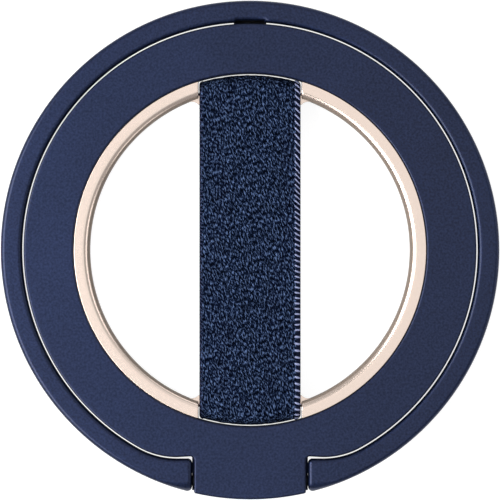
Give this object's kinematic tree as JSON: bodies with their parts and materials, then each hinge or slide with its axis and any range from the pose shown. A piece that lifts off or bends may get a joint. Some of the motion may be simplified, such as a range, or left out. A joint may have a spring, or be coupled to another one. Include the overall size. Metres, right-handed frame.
{
  "type": "magnetic phone ring grip with finger strap",
  "caption": "Flat round magnetic grip for a phone's back: an elastic finger strap across its open middle and a stand ring that folds out on a hinge at its edge.",
  "frame": {"origin": "middle of the ring, on the face of the back pad that touches the phone", "axes": "+Z out of the face, away from the phone; +Y from the hinge lug towards the top of the ring; +X along the hinge axis, to the right seen from the front"},
  "size_m": [0.064, 0.064, 0.0048],
  "materials": {
    "navy_aluminium": "fine bead-blasted, anodised navy",
    "champagne_aluminium": "satin, anodised champagne",
    "navy_velvet_elastic": "heathered velvet face on woven elastic",
    "black_nylon": "fine matte moulding",
    "dark_silicone": "matte",
    "nickel_plate": "bright nickel plating",
    "plain_steel": "ground steel"
  },
  "bodies": {
    "body": {"front_cover": "navy_aluminium", "back_cover": "black_nylon", "grip_pad": "dark_silicone", "steel_yoke": "plain_steel", "trim_ring": "champagne_aluminium", "finger_strap": "navy_velvet_elastic", "magnet_01": "nickel_plate", "magnet_02": "nickel_plate", "magnet_03": "nickel_plate", "magnet_04": "nickel_plate", "magnet_05": "nickel_plate", "magnet_06": "nickel_plate", "magnet_07": "nickel_plate", "magnet_08": "nickel_plate", "magnet_09": "nickel_plate", "magnet_10": "nickel_plate", "magnet_11": "nickel_plate", "magnet_12": "nickel_plate", "magnet_13": "nickel_plate", "magnet_14": "nickel_plate", "magnet_15": "nickel_plate", "magnet_16": "nickel_plate", "friction_sleeve_left": "plain_steel", "friction_sleeve_right": "plain_steel"},
    "stand": {"stand_ring": "navy_aluminium", "hinge_pin_left": "plain_steel", "hinge_pin_right": "plain_steel"}
  },
  "joints": [
    {"name": "stand_fold", "type": "hinge", "parent": "body", "child": "stand", "pos_m": [0, -0.02962, 0.0033], "axis": [1, 0, 0], "range_deg": [0, 180]}
  ]
}
